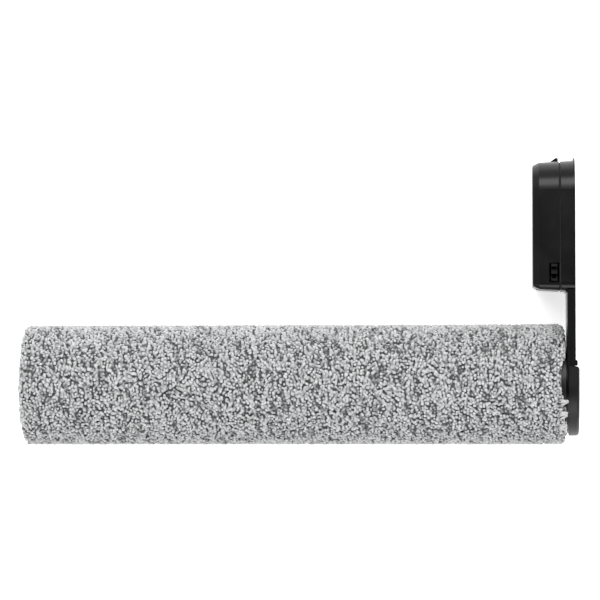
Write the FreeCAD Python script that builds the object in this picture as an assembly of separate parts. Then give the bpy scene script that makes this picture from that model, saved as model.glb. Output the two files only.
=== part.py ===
# Removable roller brush of a wet-and-dry floor washer, on its side bracket with a release latch.
# The roller lies along +X, +Y points from its axis towards the bracket's plug, and +Z is up.
# The origin is on the roller's axis, at the mouth of the drive bore. Lengths are in millimetres.
# The bracket is drawn level and then tipped about the roller's axis until its plug meets the floor.
import FreeCAD, Part
import math
import os

from FreeCAD import Vector

# Roller
ROLLER_LENGTH = 257.5
ROLLER_RADIUS = 28.5
PILE_HEIGHT = 6.3
CLOTH_THICKNESS = 0.8
TUBE_WALL = 2.4
TUBE_END_INSET = 2.0
END_RING_LENGTH = 2.2
END_RING_GAP = 0.2

# Drive end
DRIVE_BORE_RADIUS = 9.0
DRIVE_BORE_LENGTH = 10.0
DRIVE_FLANGE = 1.5
DRIVE_CAP_LENGTH = 26.0
INSERT_LENGTH = 12.0
INSERT_FLATS = 20.0
SOCKET_FLATS = 12.0
CAP_RIB_COUNT = 6
CAP_RIB_WIDTH = 1.8
PLUG_WALL = 2.0

# Ball bearing and its seat
AXLE_RADIUS = 4.0
BEARING_RADIUS = 11.0
BEARING_WIDTH = 7.0
RACE_GRIP = 0.385
BALL_COUNT = 7
BALL_RADIUS = 1.985
BALL_PLAY = 0.05
CAGE_THICKNESS = 1.2
CAGE_WIDTH = 5.4
SHIELD_THICKNESS = 0.3
SHIELD_INSET = 0.15
RETAINING_RING = 0.5
SEAL_WIDTH = 2.0
SEAL_LIP_GAP = 0.1
SEAT_STEP = 0.6
CARRIER_TAIL = 10.0
CIRCLIP_THICKNESS = 0.9
CIRCLIP_DEPTH = 0.4
CIRCLIP_HEIGHT = 1.5
AXLE_TAIL = 3.5
COLLAR_RADIUS = 6.5
WASHER_THICKNESS = 0.5
AXLE_SCREW_RADIUS = 2.0
AXLE_SCREW_HEAD_RADIUS = 3.8
AXLE_SCREW_HEAD = 2.0
AXLE_SCREW_LENGTH = 14.0

# Bracket arm and hub
ARM_GAP = 0.8
ARM_THICKNESS = 3.1
ARM_SETBACK = 5.3
ARM_SKIN = 1.4
ARM_RIB = 1.2
ARM_RIB_COUNT = 3
ARM_SEAM = 0.35
BOSS_DEPTH = 3.3
BOSS_CLEARANCE = 1.0
CARRIER_GAP = 0.5
THRUST_WASHER = 0.35
COVER_THICKNESS = 0.8
COVER_LIP = 1.4
NUB_START = 8.9
NUB_LENGTH = 2.6
NUB_HEIGHT = 0.9
CAP_SKIRT = 1.2
CAP_FACE = 1.6
CAP_TOP = 8.6
CAP_OVERLAP = 2.3
CAP_SPACE = 0.9
CAP_EDGE = 1.5
PEG_RADIUS = 1.6
PEG_PLACE = 13.0
SLIP = 0.1

# Plug box at the far end of the arm
PLUG_GAP = 15.2
PLUG_LENGTH = 61.7
PLUG_HALF_DEPTH = 24.0
PLUG_REACH = 16.0
FRONT_CORNER = 4.0
REAR_CORNER = 14.0
PLUG_SHELL = 1.8
DRAFT_DEGREES = 3.0
LEAD_IN_LENGTH = 3.1
LEAD_IN_DEPTH = 1.3
PARTING = 3.2
PARTING_GROOVE = 0.5
GROOVE_DEPTH = 0.6
GASKET_WIDTH = 1.2
ARM_FILLET = 1.7
EDGE_BREAK = 0.25

# Screws that close the plug
SCREW_RADIUS = 1.3
SCREW_HEAD_RADIUS = 2.6
SCREW_HEAD = 1.6
SCREW_LENGTH = 12.0
SCREW_BOSS_RADIUS = 3.3
SCREW_EDGE = 9.5

# Latch
LATCH_NEAR = 3.9
LATCH_WIDTH = 4.3
LATCH_HALF_DEPTH = 6.0
LATCH_BAR_DEPTH = 6.0
LATCH_PROUD = 1.5
LATCH_RAMP = 2.2
LATCH_TIP = 0.8
LATCH_TIP_CHAMFER = 0.3
LATCH_TRAVEL = 2.5
LATCH_SHOULDER = 1.6
SHOULDER_LENGTH = 5.0
NOTCH_WIDTH = 5.3
NOTCH_OFFSET = 3.4
NOTCH_DEPTH = 1.2
LATCH_SLIP = 0.15
GUIDE_START = 6.0
GUIDE_GAP = 7.5
GUIDE_END_ROOM = 16.5
GUIDE_HALF_DEPTH = 9.0
STRAP_THICKNESS = 0.3
STRAP_SCREW_LARGEST = 0.9
STRAP_SCREW_HEAD = 0.8

# Release button
WINDOW_START = 4.3
WINDOW_LENGTH = 8.95
WINDOW_WIDTH = 5.1
BUTTON_LENGTH = 7.9
BUTTON_WIDTH = 2.9
BUTTON_NEAR = 4.5
BUTTON_RECESS = 0.35
BUTTON_RIB = 1.15
BUTTON_RIB_COUNT = 3
BUTTON_POCKET_DEPTH = 2.6
BUTTON_RAIL = 0.45
BUTTON_HEAD = 4.2
CAM_GAP = 0.1
STEM_LENGTH = 5.0
FOOT_LENGTH = 3.6
FOOT_HEIGHT = 1.9

# Springs
LATCH_SPRING_RADIUS = 2.3
LATCH_SPRING_WIRE = 0.35
LATCH_SPRING_TURNS = 8
BUTTON_SPRING_RADIUS = 1.2
BUTTON_SPRING_WIRE = 0.2
BUTTON_SPRING_TURNS = 7

# Radii of the roller's layers
CLOTH_RADIUS = ROLLER_RADIUS - PILE_HEIGHT
TUBE_RADIUS = CLOTH_RADIUS - CLOTH_THICKNESS
TUBE_BORE = TUBE_RADIUS - TUBE_WALL
BALL_PITCH_RADIUS = (AXLE_RADIUS + BEARING_RADIUS) / 2
RACE_WALL = (BEARING_RADIUS - AXLE_RADIUS) / 2 - BALL_RADIUS + RACE_GRIP
BOSS_RADIUS = TUBE_BORE - BOSS_CLEARANCE

# Stations along X
ARM_FACE = ROLLER_LENGTH + ARM_GAP
ARM_BACK = ARM_FACE + ARM_THICKNESS
COVER_BACK = ARM_BACK + COVER_THICKNESS
BOSS_FACE = ARM_FACE - BOSS_DEPTH
CARRIER_FACE = BOSS_FACE - CARRIER_GAP
SEAL_START = CARRIER_FACE - SEAL_WIDTH
BEARING_END = SEAL_START - RETAINING_RING
BEARING_START = BEARING_END - BEARING_WIDTH
BEARING_MIDDLE = (BEARING_START + BEARING_END) / 2
CARRIER_START = BEARING_START - CARRIER_TAIL
TUBE_END = ROLLER_LENGTH - TUBE_END_INSET
AXLE_END = ARM_FACE + 0.9
WASHER_SEAT = ARM_FACE + 1.1
PLUG_FACE = ARM_FACE - PLUG_REACH
INNER_EDGE = ARM_FACE - PARTING - PARTING_GROOVE / 2
OUTER_EDGE = ARM_FACE - PARTING + PARTING_GROOVE / 2
LATCH_BACK = ARM_FACE - LATCH_NEAR
LATCH_FRONT = LATCH_BACK - LATCH_WIDTH
PLUG_FLOOR = PLUG_FACE + PLUG_SHELL

# Stations along Y and Z in the level bracket
ARM_HALF_WIDTH = ROLLER_RADIUS - ARM_SETBACK
PLUG_START = ROLLER_RADIUS + PLUG_GAP
PLUG_END = PLUG_START + PLUG_LENGTH
LIP_CORNER = REAR_CORNER + COVER_LIP
BUTTON_START = PLUG_START + WINDOW_START + (WINDOW_LENGTH - BUTTON_LENGTH) / 2
BUTTON_END = BUTTON_START + BUTTON_LENGTH
LATCH_END = PLUG_END + LATCH_PROUD
SPRING_LUG = PLUG_START + 17.7
GUIDE_FIRST = SPRING_LUG + GUIDE_START
GUIDE_LENGTH = (PLUG_END - GUIDE_END_ROOM - GUIDE_FIRST - GUIDE_GAP) / 2
GUIDE_STARTS = (GUIDE_FIRST, GUIDE_FIRST + GUIDE_LENGTH + GUIDE_GAP)
STRAP_SCREW_RADIUS = min(STRAP_SCREW_LARGEST, GUIDE_LENGTH / 4)
SPRING_AXIS_Z = -4.0


def rest_tilt():
    """Angle in degrees that tips the plug down until its rear corner meets the roller's floor."""
    centre_y = PLUG_END + COVER_LIP - LIP_CORNER
    centre_drop = PLUG_HALF_DEPTH - LIP_CORNER
    reach = math.hypot(centre_y, centre_drop)
    lift = math.asin((ROLLER_RADIUS - LIP_CORNER) / reach)
    return math.degrees(lift - math.atan2(centre_drop, centre_y))


def rod(x0, x1, radius, y=0.0, z=0.0):
    """Cylinder along X."""
    return Part.makeCylinder(radius, x1 - x0, Vector(x0, y, z), Vector(1, 0, 0))


def ring(x0, x1, outer, inner):
    """Tube about the roller's axis."""
    return rod(x0, x1, outer).cut(rod(x0, x1, inner))


def block(x0, x1, y0, y1, z0, z1):
    """Box between six planes."""
    return Part.makeBox(x1 - x0, y1 - y0, z1 - z0, Vector(x0, y0, z0))


def hex_bar(x0, x1, flats):
    """Hexagonal bar along X, given its size across flats."""
    corner = flats / math.sqrt(3)
    points = []
    for side in range(7):
        angle = math.radians(60 * side)
        points.append(Vector(x0, corner * math.cos(angle), corner * math.sin(angle)))
    return Part.Face(Part.makePolygon(points)).extrude(Vector(x1 - x0, 0, 0))


def rounded_wire(points, radii):
    """Closed wire through the points, each corner rounded by its own radius."""
    ends = []
    for i, corner in enumerate(points):
        back = (points[i - 1] - corner).normalize()
        ahead = (points[(i + 1) % len(points)] - corner).normalize()
        half = back.getAngle(ahead) / 2
        run = radii[i] / math.tan(half)
        inward = (back + ahead).normalize()
        middle = corner + inward * (radii[i] / math.sin(half) - radii[i])
        ends.append((corner + back * run, middle, corner + ahead * run))
    edges = []
    for i, (start, middle, stop) in enumerate(ends):
        edges.append(Part.Arc(start, middle, stop).toShape())
        edges.append(Part.LineSegment(stop, ends[(i + 1) % len(ends)][0]).toShape())
    return Part.Wire(edges)


def plug_section(x, inset=0.0):
    """Outline of the plug at a station, drawn in by the draft and by an inset."""
    shrink = (COVER_BACK - x) * math.tan(math.radians(DRAFT_DEGREES)) + inset
    y0 = PLUG_START + shrink
    y1 = PLUG_END - shrink
    z = PLUG_HALF_DEPTH - shrink
    corners = [Vector(x, y0, -z), Vector(x, y1, -z), Vector(x, y1, z), Vector(x, y0, z)]
    front = max(FRONT_CORNER - shrink, 0.5)
    rear = REAR_CORNER - shrink
    return rounded_wire(corners, [front, rear, rear, front])


def plug_solid(stations):
    """Drafted solid through outlines given as (station, inset) pairs."""
    return Part.makeLoft([plug_section(x, inset) for x, inset in stations], True, True)


def surface_height(x):
    """Z of the plug's upper outside surface at a station."""
    return PLUG_HALF_DEPTH - (COVER_BACK - x) * math.tan(math.radians(DRAFT_DEGREES))


def u_plate(x0, x1, half_width, top):
    """Plate with straight sides that ends in a half-round about the axle."""
    half_round = rod(x0, x1, half_width).common(block(x0, x1, -half_width, 0, -half_width, half_width))
    return block(x0, x1, 0, top, -half_width, half_width).fuse(half_round)


def coil_spring(radius, wire, length, turns):
    """Coil spring that stands on the XY plane about Z."""
    helix = Part.makeHelix((length - 2 * wire) / turns, length - 2 * wire, radius)
    profile = Part.Wire(Part.makeCircle(wire, Vector(radius, 0, 0), Vector(0, 1, 0)))
    spring = Part.Wire(helix).makePipeShell([profile], True, True)
    spring.translate(Vector(0, 0, wire))
    return spring


def pile_sleeve():
    """Envelope of the soft nap."""
    return ring(0, ROLLER_LENGTH, ROLLER_RADIUS, CLOTH_RADIUS)


def backing_cloth():
    """Woven backing that carries the nap, wrapped on the tube."""
    return ring(0, TUBE_END, CLOTH_RADIUS, TUBE_RADIUS)


def core_tube():
    """Rigid tube between the two end pieces."""
    return ring(DRIVE_FLANGE, TUBE_END, TUBE_RADIUS, TUBE_BORE)


def drive_end_cap():
    """Flanged plug with the round pilot bore, the insert's hexagonal seat and ribs behind."""
    hub = INSERT_FLATS / math.sqrt(3) + PLUG_WALL
    rim = TUBE_BORE - PLUG_WALL
    flange = rod(0, DRIVE_FLANGE, TUBE_RADIUS - SLIP)
    cap = flange.fuse(rod(DRIVE_FLANGE, DRIVE_CAP_LENGTH, TUBE_BORE))
    cap = cap.cut(rod(0, DRIVE_BORE_LENGTH, DRIVE_BORE_RADIUS))
    cap = cap.cut(hex_bar(DRIVE_BORE_LENGTH, DRIVE_CAP_LENGTH, INSERT_FLATS))
    hollow = ring(DRIVE_BORE_LENGTH, DRIVE_CAP_LENGTH, rim, hub)
    for i in range(CAP_RIB_COUNT):
        rib = block(0, DRIVE_CAP_LENGTH, 0, rim, -CAP_RIB_WIDTH / 2, CAP_RIB_WIDTH / 2)
        rib.rotate(Vector(0, 0, 0), Vector(1, 0, 0), 360 / CAP_RIB_COUNT * (i + 0.5))
        hollow = hollow.cut(rib)
    return cap.cut(hollow).removeSplitter()


def drive_insert():
    """Hexagonal socket that takes the drive shaft's torque."""
    start = DRIVE_BORE_LENGTH
    body = hex_bar(start, start + INSERT_LENGTH, INSERT_FLATS)
    return body.cut(hex_bar(start, start + INSERT_LENGTH, SOCKET_FLATS))


def bearing_carrier():
    """Plug at the bracket end that seats the bearing, its ring and its seal."""
    hub = BEARING_RADIUS + PLUG_WALL
    rim = TUBE_BORE - PLUG_WALL
    carrier = rod(CARRIER_START, CARRIER_FACE, TUBE_BORE)
    carrier = carrier.cut(rod(CARRIER_START, BEARING_START, AXLE_RADIUS + CIRCLIP_HEIGHT + 1))
    carrier = carrier.cut(rod(BEARING_START, BEARING_END, BEARING_RADIUS))
    carrier = carrier.cut(rod(BEARING_END, CARRIER_FACE, BEARING_RADIUS + SEAT_STEP))
    if rim > hub:
        carrier = carrier.cut(ring(CARRIER_START, BEARING_START, rim, hub))
    return carrier


def end_ring():
    """Smooth ring that covers the ends of the tube and the cloth beside the bracket."""
    inner = BOSS_RADIUS + BOSS_CLEARANCE / 2
    flange = ring(TUBE_END, TUBE_END + END_RING_LENGTH, CLOTH_RADIUS - END_RING_GAP, inner)
    return flange.fuse(ring(CARRIER_FACE, TUBE_END, TUBE_BORE, inner)).removeSplitter()


def race_groove():
    """Torus that both races are ground to."""
    groove = Part.makeTorus(BALL_PITCH_RADIUS, BALL_RADIUS + BALL_PLAY)
    groove.rotate(Vector(0, 0, 0), Vector(0, 1, 0), 90)
    groove.translate(Vector(BEARING_MIDDLE, 0, 0))
    return groove


def outer_race():
    """Race that turns with the roller."""
    race = ring(BEARING_START, BEARING_END, BEARING_RADIUS, BEARING_RADIUS - RACE_WALL)
    return race.cut(race_groove())


def inner_race():
    """Race that stays on the axle."""
    race = ring(BEARING_START, BEARING_END, AXLE_RADIUS + RACE_WALL, AXLE_RADIUS)
    return race.cut(race_groove())


def bearing_shield(start):
    """Thin disc that closes one side of the bearing."""
    outer = BEARING_RADIUS - RACE_WALL
    return ring(start, start + SHIELD_THICKNESS, outer, AXLE_RADIUS + RACE_WALL + SLIP)


def ball(index, radius):
    """One ball of the bearing, or the pocket for it."""
    angle = 2 * math.pi * index / BALL_COUNT
    y = BALL_PITCH_RADIUS * math.cos(angle)
    z = BALL_PITCH_RADIUS * math.sin(angle)
    return Part.makeSphere(radius, Vector(BEARING_MIDDLE, y, z))


def bearing_cage():
    """Ring that keeps the balls apart."""
    outer = BALL_PITCH_RADIUS + CAGE_THICKNESS / 2
    inner = BALL_PITCH_RADIUS - CAGE_THICKNESS / 2
    start = BEARING_MIDDLE - CAGE_WIDTH / 2
    cage = ring(start, start + CAGE_WIDTH, outer, inner)
    for index in range(BALL_COUNT):
        cage = cage.cut(ball(index, BALL_RADIUS + BALL_PLAY))
    return cage


def retaining_ring():
    """Ring that holds the bearing in the carrier."""
    outer = BEARING_RADIUS + SEAT_STEP
    return ring(BEARING_END, SEAL_START, outer, BEARING_RADIUS - RACE_WALL + SEAT_STEP)


def lip_seal():
    """Rubber seal around the axle's collar."""
    return ring(SEAL_START, CARRIER_FACE, BEARING_RADIUS + SEAT_STEP, COLLAR_RADIUS + SEAL_LIP_GAP)


def axle_circlip():
    """Clip in the axle's groove behind the inner race."""
    start = BEARING_START - CIRCLIP_THICKNESS
    seat = AXLE_RADIUS - CIRCLIP_DEPTH
    clip = ring(start, BEARING_START, AXLE_RADIUS + CIRCLIP_HEIGHT, seat)
    gap = block(start, BEARING_START, 0, 2 * BEARING_RADIUS, -seat / 2, seat / 2)
    return clip.cut(gap)


def axle():
    """Steel axle with a collar against the bracket's boss and a threaded hole in its end."""
    shaft = rod(BEARING_START - AXLE_TAIL, AXLE_END, AXLE_RADIUS)
    shaft = shaft.fuse(rod(BEARING_END, BOSS_FACE, COLLAR_RADIUS))
    groove = ring(
        BEARING_START - CIRCLIP_THICKNESS, BEARING_START, BEARING_RADIUS, AXLE_RADIUS - CIRCLIP_DEPTH
    )
    hole = rod(AXLE_END - AXLE_SCREW_LENGTH, AXLE_END, AXLE_SCREW_RADIUS)
    return shaft.cut(groove).cut(hole)


def thrust_washer():
    """Low-friction washer on the bracket's boss."""
    inner = BEARING_RADIUS + SEAT_STEP
    return ring(BOSS_FACE - THRUST_WASHER, BOSS_FACE, BOSS_RADIUS - BOSS_CLEARANCE, inner)


def axle_washer():
    """Washer under the axle's screw."""
    outer = AXLE_SCREW_HEAD_RADIUS + WASHER_THICKNESS
    return ring(WASHER_SEAT, WASHER_SEAT + WASHER_THICKNESS, outer, AXLE_SCREW_RADIUS + SLIP)


def axle_screw():
    """Hexagon-socket screw that pulls the axle against the boss."""
    seat = WASHER_SEAT + WASHER_THICKNESS
    screw = rod(seat, seat + AXLE_SCREW_HEAD, AXLE_SCREW_HEAD_RADIUS)
    screw = screw.fuse(rod(AXLE_END - AXLE_SCREW_LENGTH + 1, seat, AXLE_SCREW_RADIUS))
    return screw.cut(hex_bar(seat + 0.8, seat + AXLE_SCREW_HEAD, AXLE_SCREW_HEAD_RADIUS))


def peg_places():
    """Y and Z of the pegs that hold the hub cap."""
    return [(0, side * PEG_PLACE * BOSS_RADIUS / 18) for side in (-1, 1)]


def screw_places():
    """Y and Z of the screws that close the plug."""
    edge = PLUG_HALF_DEPTH - SCREW_EDGE
    front = PLUG_START + SCREW_EDGE - 1.5
    middle = (GUIDE_STARTS[0] + GUIDE_LENGTH + GUIDE_STARTS[1]) / 2
    rear = PLUG_END - SCREW_EDGE - 2.5
    return [(front, -edge), (middle, edge + 1), (rear, -edge), (rear, edge)]


def arm_pockets():
    """Hollows between the ribs on the arm's covered side."""
    start = CAP_TOP + CAP_OVERLAP + 4
    stop = PLUG_START - ARM_RIB
    half = ARM_HALF_WIDTH - 3
    pitch = (stop - start + ARM_RIB) / ARM_RIB_COUNT
    wide = (2 * half + ARM_RIB) / ARM_RIB_COUNT
    pockets = []
    for row in range(ARM_RIB_COUNT):
        for column in range(ARM_RIB_COUNT):
            y = start + row * pitch
            z = -half + column * wide
            cell = block(ARM_FACE + ARM_SKIN, ARM_BACK, y, y + pitch - ARM_RIB, z, z + wide - ARM_RIB)
            pockets.append(cell)
    return pockets


def arm_fillet():
    """Concave web where the plug rises from the arm's inner face."""
    x = ARM_FACE
    y = PLUG_START + 0.3
    near = Vector(x - ARM_FILLET, y, 0)
    low = Vector(x, y - ARM_FILLET, 0)
    diagonal = ARM_FILLET * (1 - math.sqrt(0.5))
    middle = Vector(x - diagonal, y - diagonal, 0)
    corner = Vector(x + ARM_SKIN / 2, y, 0)
    foot = Vector(x + ARM_SKIN / 2, y - ARM_FILLET, 0)
    edges = [Part.Arc(near, middle, low).toShape()]
    for start, stop in ((low, foot), (foot, corner), (corner, near)):
        edges.append(Part.LineSegment(start, stop).toShape())
    half = PLUG_HALF_DEPTH - FRONT_CORNER - 0.5
    web = Part.Face(Part.Wire(edges)).extrude(Vector(0, 0, 2 * half))
    web.translate(Vector(0, 0, -half))
    return web


def outer_housing():
    """Arm, hub boss and outer half of the plug, in one moulding."""
    shell = plug_solid([(OUTER_EDGE, EDGE_BREAK), (OUTER_EDGE + EDGE_BREAK, 0), (ARM_BACK, 0)])
    shell = shell.cut(plug_solid([(OUTER_EDGE, PLUG_SHELL), (ARM_BACK - PLUG_SHELL, PLUG_SHELL)]))
    body = u_plate(ARM_FACE, ARM_BACK, ARM_HALF_WIDTH, PLUG_START + 1)
    body = body.fuse([shell, arm_fillet(), rod(BOSS_FACE, ARM_BACK, BOSS_RADIUS)])
    for y, z in screw_places():
        body = body.fuse(rod(OUTER_EDGE, ARM_BACK, SCREW_BOSS_RADIUS, y, z))
    cuts = arm_pockets()
    cuts.append(rod(BOSS_FACE, ARM_BACK, AXLE_RADIUS))
    cuts.append(rod(WASHER_SEAT, ARM_BACK, AXLE_SCREW_HEAD_RADIUS + WASHER_THICKNESS + SLIP))
    for y, z in peg_places():
        cuts.append(rod(ARM_FACE, ARM_BACK, PEG_RADIUS + SLIP, y, z))
    for y, z in screw_places():
        cuts.append(rod(OUTER_EDGE, ARM_BACK, SCREW_RADIUS + SLIP, y, z))
        cuts.append(rod(ARM_BACK - SCREW_HEAD, ARM_BACK, SCREW_HEAD_RADIUS + SLIP, y, z))
    seam_x = ARM_FACE + ARM_THICKNESS / 2
    seam_top = PLUG_START - ARM_FILLET
    for side in (-1, 1):
        z = side * ARM_HALF_WIDTH
        cuts.append(block(seam_x, seam_x + ARM_SEAM, CAP_TOP, seam_top, z - ARM_SEAM, z + ARM_SEAM))
    return body.cut(cuts).removeSplitter()


def latch_guides():
    """Two blocks inside the plug with a slot for the latch's bar."""
    guides = []
    for start in GUIDE_STARTS:
        stop = start + GUIDE_LENGTH
        strap_face = INNER_EDGE - STRAP_THICKNESS
        guide = block(
            PLUG_FLOOR - SLIP, strap_face, start, stop, -GUIDE_HALF_DEPTH, GUIDE_HALF_DEPTH + 6
        )
        slot = block(
            LATCH_FRONT - LATCH_SLIP, strap_face, start, stop, -LATCH_SLIP, LATCH_BAR_DEPTH + LATCH_SLIP
        )
        guide = guide.cut(slot)
        for y, z in strap_screw_places(start):
            guide = guide.cut(rod(PLUG_FLOOR + 1, strap_face, STRAP_SCREW_RADIUS, y, z))
        guides.append(guide)
    return guides


def strap_screw_places(start):
    """Y and Z of the two screws of a guide's strap."""
    y = start + GUIDE_LENGTH / 2
    return [(y, -GUIDE_HALF_DEPTH / 2), (y, LATCH_BAR_DEPTH + GUIDE_HALF_DEPTH / 2)]


def inner_housing():
    """Inner half of the plug, with its lead-in, the latch's notch and the button's window."""
    stations = [
        (PLUG_FACE, LEAD_IN_DEPTH + EDGE_BREAK),
        (PLUG_FACE + EDGE_BREAK, LEAD_IN_DEPTH * (1 - EDGE_BREAK / LEAD_IN_LENGTH)),
        (PLUG_FACE + LEAD_IN_LENGTH, 0),
        (INNER_EDGE - EDGE_BREAK, 0),
        (INNER_EDGE, EDGE_BREAK),
    ]
    shell = plug_solid(stations)
    shell = shell.cut(plug_solid([(PLUG_FLOOR, PLUG_SHELL), (INNER_EDGE, PLUG_SHELL)]))
    fittings = latch_guides()
    wall = PLUG_FLOOR - SLIP
    front = PLUG_START + 1
    pad_z = LATCH_SPRING_RADIUS + 1
    pad = block(wall, INNER_EDGE - 1, front, spring_seat(), SPRING_AXIS_Z - pad_z, SPRING_AXIS_Z + pad_z)
    fittings.append(pad)
    shelf_x = ARM_FACE - BUTTON_NEAR + STRAP_THICKNESS
    foot_start = BUTTON_END + 0.4
    shelf = block(wall, shelf_x, foot_start, foot_start + FOOT_LENGTH, button_shelf() - 1.8, button_shelf())
    fittings.append(shelf)
    for y, z in screw_places():
        fittings.append(rod(wall, INNER_EDGE, SCREW_BOSS_RADIUS, y, z))
    body = shell.fuse(fittings)
    cuts = []
    for y, z in screw_places():
        cuts.append(rod(PLUG_FLOOR + 1, INNER_EDGE, SCREW_RADIUS, y, z))
    notch_x = ARM_FACE - NOTCH_OFFSET
    notch_z = LATCH_HALF_DEPTH + 0.6
    rear = PLUG_END - (COVER_BACK - INNER_EDGE) * math.tan(math.radians(DRAFT_DEGREES))
    notch = block(notch_x - NOTCH_WIDTH, notch_x, rear - NOTCH_DEPTH, PLUG_END + 1, -notch_z, notch_z)
    slot_z = LATCH_HALF_DEPTH + LATCH_SLIP
    slot = block(LATCH_FRONT - LATCH_SLIP, notch_x, rear - 2 * PLUG_SHELL, PLUG_END + 1, -slot_z, slot_z)
    cuts.append(notch)
    cuts.append(slot)
    window_x = ARM_FACE - PARTING
    window_y = PLUG_START + WINDOW_START
    cuts.append(
        block(
            window_x - WINDOW_WIDTH,
            window_x,
            window_y,
            window_y + WINDOW_LENGTH,
            PLUG_HALF_DEPTH - 2 * PLUG_SHELL,
            PLUG_HALF_DEPTH + 1,
        )
    )
    return body.cut(cuts).removeSplitter()


def spring_seat():
    """Y of the pad that the latch's spring pushes from."""
    return PLUG_START + PLUG_SHELL + 1.1


def button_shelf():
    """Z of the shelf that the button's spring stands on."""
    return LATCH_BAR_DEPTH + 3.0


def cam_sum():
    """Y + Z on the sloping plane between the button and the latch."""
    return BUTTON_START + 3.9 + surface_height(LATCH_FRONT) - 9.5


def housing_gasket():
    """Strip set back in the groove between the plug's halves."""
    outline = Part.Face(plug_section(INNER_EDGE, GROOVE_DEPTH))
    hole = Part.Face(plug_section(INNER_EDGE, GROOVE_DEPTH + GASKET_WIDTH))
    return outline.cut(hole).extrude(Vector(PARTING_GROOVE, 0, 0))


def housing_screw(y, z):
    """Cross-recessed screw that joins the plug's halves."""
    seat = ARM_BACK - SCREW_HEAD
    screw = rod(seat, ARM_BACK, SCREW_HEAD_RADIUS, y, z)
    screw = screw.fuse(rod(seat - SCREW_LENGTH, seat, SCREW_RADIUS, y, z))
    for across, along in ((0.35, 1.5), (1.5, 0.35)):
        recess = block(ARM_BACK - 0.9, ARM_BACK, y - across, y + across, z - along, z + along)
        screw = screw.cut(recess)
    return screw


def side_cover():
    """Outer skin of the arm and the plug, with a lip behind the plug and a nub by the hub."""
    start = NUB_START
    panel = block(
        ARM_BACK, COVER_BACK, start, PLUG_START + FRONT_CORNER + 1, -ARM_HALF_WIDTH, ARM_HALF_WIDTH
    )
    z = PLUG_HALF_DEPTH
    y1 = PLUG_END + COVER_LIP
    corners = [
        Vector(ARM_BACK, PLUG_START, -z),
        Vector(ARM_BACK, y1, -z),
        Vector(ARM_BACK, y1, z),
        Vector(ARM_BACK, PLUG_START, z),
    ]
    outline = rounded_wire(corners, [FRONT_CORNER, LIP_CORNER, LIP_CORNER, FRONT_CORNER])
    plate = Part.Face(outline).extrude(Vector(COVER_THICKNESS, 0, 0))
    rim = [e for e in plate.Edges if e.BoundBox.XMin > COVER_BACK - 0.01]
    plate = plate.makeFillet(EDGE_BREAK, rim)
    half = ARM_HALF_WIDTH - 2
    nub = block(ARM_BACK, COVER_BACK + NUB_HEIGHT, start, start + NUB_LENGTH, -half, half)
    edges = [e for e in nub.Edges if e.BoundBox.XMin > COVER_BACK + NUB_HEIGHT / 2]
    nub = nub.makeFillet(NUB_HEIGHT / 2, edges)
    return panel.fuse([plate, nub]).removeSplitter()


def hub_cap():
    """Cup over the hub, with a skirt around the arm's end and two pegs."""
    radius = ARM_HALF_WIDTH + CAP_SKIRT
    back = ARM_BACK + CAP_SPACE + CAP_FACE
    front = ARM_FACE + CAP_OVERLAP - 1.5
    cap = u_plate(front, back, radius, CAP_TOP).removeSplitter()
    edges = [e for e in cap.Edges if e.BoundBox.XMin > back - 0.01]
    cap = cap.makeFillet(CAP_EDGE, edges)
    cap = cap.cut(u_plate(front, ARM_BACK + CAP_SPACE, ARM_HALF_WIDTH + SLIP, CAP_TOP - CAP_SKIRT))
    cap = cap.cut(block(front, ARM_BACK, 0, CAP_TOP, -ARM_HALF_WIDTH - SLIP, ARM_HALF_WIDTH + SLIP))
    for y, z in peg_places():
        cap = cap.fuse(rod(ARM_FACE + 0.6, ARM_BACK + CAP_SPACE, PEG_RADIUS, y, z))
    return cap.removeSplitter()


def latch_bar():
    """Sliding latch: nose with a lead-in ramp, shoulder, bar, spring lug and cam leg."""
    x0 = LATCH_FRONT
    x1 = LATCH_BACK
    neck = PLUG_END - PLUG_SHELL - SHOULDER_LENGTH - 1.0
    nose_points = [
        Vector(x0, neck, -LATCH_HALF_DEPTH),
        Vector(x0, LATCH_END - LATCH_RAMP, -LATCH_HALF_DEPTH),
        Vector(x1 - LATCH_TIP_CHAMFER - LATCH_TIP, LATCH_END, -LATCH_HALF_DEPTH),
        Vector(x1 - LATCH_TIP_CHAMFER, LATCH_END, -LATCH_HALF_DEPTH),
        Vector(x1, LATCH_END - LATCH_TIP_CHAMFER, -LATCH_HALF_DEPTH),
        Vector(x1, neck, -LATCH_HALF_DEPTH),
    ]
    outline = Part.makePolygon(nose_points + nose_points[:1])
    nose = Part.Face(outline).extrude(Vector(0, 0, 2 * LATCH_HALF_DEPTH))
    shoulder = block(
        x0 - LATCH_SHOULDER, x1, neck, neck + SHOULDER_LENGTH, -LATCH_HALF_DEPTH, LATCH_HALF_DEPTH
    )
    leg_start = PLUG_START + PLUG_SHELL + LATCH_TRAVEL + 1.0
    bar = block(x0, x1, leg_start, neck + 1, 0, LATCH_BAR_DEPTH)
    lug_z = SPRING_AXIS_Z - LATCH_SPRING_RADIUS - 0.5
    lug = block(x0 - LATCH_SHOULDER, x1, SPRING_LUG, SPRING_LUG + 2.5, lug_z, LATCH_BAR_DEPTH / 2)
    plane = cam_sum()
    foot = LATCH_BAR_DEPTH - 1
    top = plane - leg_start - 2.0
    leg_stop = leg_start + 5.6
    leg_points = [
        Vector(x0, leg_start, foot),
        Vector(x0, leg_start, top),
        Vector(x0, plane - top, top),
        Vector(x0, leg_stop, plane - leg_stop),
        Vector(x0, leg_stop, foot),
    ]
    outline = Part.makePolygon(leg_points + leg_points[:1])
    leg = Part.Face(outline).extrude(Vector(x1 - x0, 0, 0))
    return nose.fuse([shoulder, bar, lug, leg]).removeSplitter()


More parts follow.
